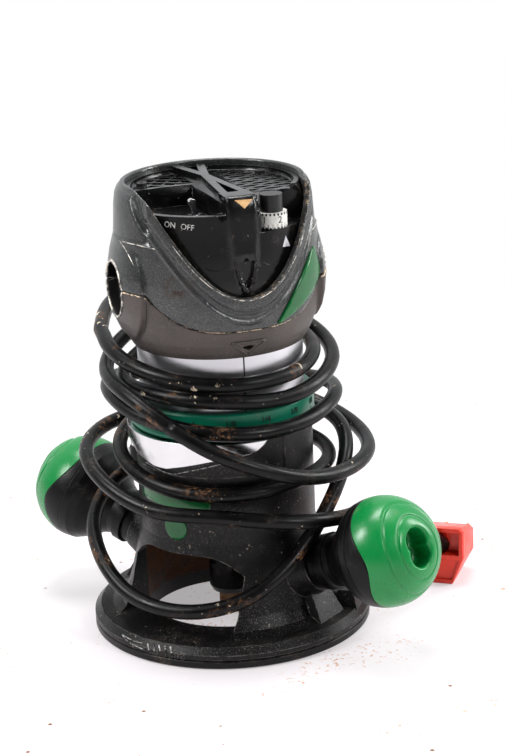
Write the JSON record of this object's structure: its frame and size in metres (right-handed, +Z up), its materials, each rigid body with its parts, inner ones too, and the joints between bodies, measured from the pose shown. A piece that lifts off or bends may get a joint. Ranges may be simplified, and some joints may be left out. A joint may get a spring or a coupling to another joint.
{
  "type": "electric router",
  "caption": "Fixed-base wood router: round base with a chip window, side knobs, clamped aluminium motor with depth ring, plastic top housing, lead wound round it and a moulded plug.",
  "frame": {"origin": "on the spindle's axis at the underside of the sub-base", "axes": "+Z up along the spindle, X through the two knobs, -Y out of the base's front window"},
  "size_m": [0.2602, 0.212, 0.247],
  "materials": {
    "cast_black": "textured",
    "plate_black": "matte",
    "steel": "plated",
    "grip_rubber": "matte",
    "knob_green": "satin",
    "ring_green": "satin",
    "lever_chrome": "polished",
    "can_aluminium": "brushed",
    "lamination": "raw",
    "copper": "enamelled copper",
    "frame_black": "matte",
    "brass": "bright",
    "carbon": "matte",
    "housing_dusty": "dusty",
    "housing_grey": "fine flake",
    "cover_black": "satin gloss",
    "dial_white": "satin",
    "nut_black": "black oxide",
    "cutter_steel": "ground",
    "cord_rubber": "satin",
    "plug_orange": "gloss"
  },
  "bodies": {
    "base": {"base_casting": "cast_black", "sub_base": "plate_black", "sub_base_screws": "steel", "clamp_bolt": "steel", "clamp_lever_pin": "steel", "handle_grip_left": "grip_rubber", "handle_grip_right": "grip_rubber", "handle_cap_left": "knob_green", "handle_cap_right": "knob_green", "handle_bolt_left": "steel", "handle_bolt_right": "steel", "cord_winding": "cord_rubber", "cord_tail": "cord_rubber", "plug_boot": "cord_rubber", "plug_body": "plug_orange", "plug_pins": "brass"},
    "depth_ring": {"depth_ring": "ring_green"},
    "clamp_lever": {"clamp_lever": "lever_chrome"},
    "motor": {"motor_can": "can_aluminium", "guide_pins": "steel", "nose_bell": "can_aluminium", "lower_bearing": "steel", "upper_bearing": "steel", "field_core": "lamination", "field_coils": "copper", "brush_frame": "frame_black", "brush_holder_left": "brass", "brush_holder_right": "brass", "carbon_brush_left": "carbon", "carbon_brush_right": "carbon", "brush_spring_left": "steel", "brush_spring_right": "steel", "brush_cap_left": "frame_black", "brush_cap_right": "frame_black", "housing_lower": "housing_dusty", "housing_upper": "housing_grey", "housing_screws": "steel", "inner_cover": "cover_black", "switch_body": "frame_black", "speed_control": "frame_black", "cord_gland": "housing_grey", "cord_clamp": "steel", "strain_relief": "cord_rubber", "cord_lead": "cord_rubber"},
    "spindle": {"armature_shaft": "steel", "armature_core": "lamination", "armature_windings": "copper", "commutator": "copper", "cooling_fan": "frame_black", "collet": "steel", "collet_nut": "nut_black", "cutter": "cutter_steel"},
    "switch_toggle": {"switch_toggle": "lever_chrome"},
    "speed_dial": {"speed_dial": "dial_white"}
  },
  "joints": [
    {"name": "motor_slide", "type": "slide", "parent": "base", "child": "motor", "axis": [0, 0, 1], "range_m": [-0.015, 0.023], "deforming": ["cord_winding", "cord_lead"]},
    {"name": "depth_ring_turn", "type": "hinge", "parent": "base", "child": "depth_ring", "pos_m": [0, 0, 0.1235], "axis": [0, 0, 1], "range_deg": [-107, 163.5]},
    {"name": "clamp_lever_swing", "type": "hinge", "parent": "base", "child": "clamp_lever", "pos_m": [-0.04673, -0.01888, 0.106], "axis": [0, 0, -1], "range_deg": [0, 25], "deforming": ["cord_winding"]},
    {"name": "spindle_spin", "type": "hinge", "parent": "motor", "child": "spindle", "pos_m": [0, 0, 0.12], "axis": [0, 0, 1], "continuous": true},
    {"name": "switch_toggle_throw", "type": "hinge", "parent": "motor", "child": "switch_toggle", "pos_m": [0.00523, -0.02172, 0.229], "axis": [-0.809, 0.5878, 0], "range_deg": [0, 28]},
    {"name": "speed_dial_turn", "type": "hinge", "parent": "motor", "child": "speed_dial", "pos_m": [0.04272, -0.00755, 0.226], "axis": [0, 0, 1], "range_deg": [-130, 130]}
  ],
  "couplings": [
    {"joint": "depth_ring_turn", "follows": "motor_slide", "rad_per_m": 123.68}
  ]
}
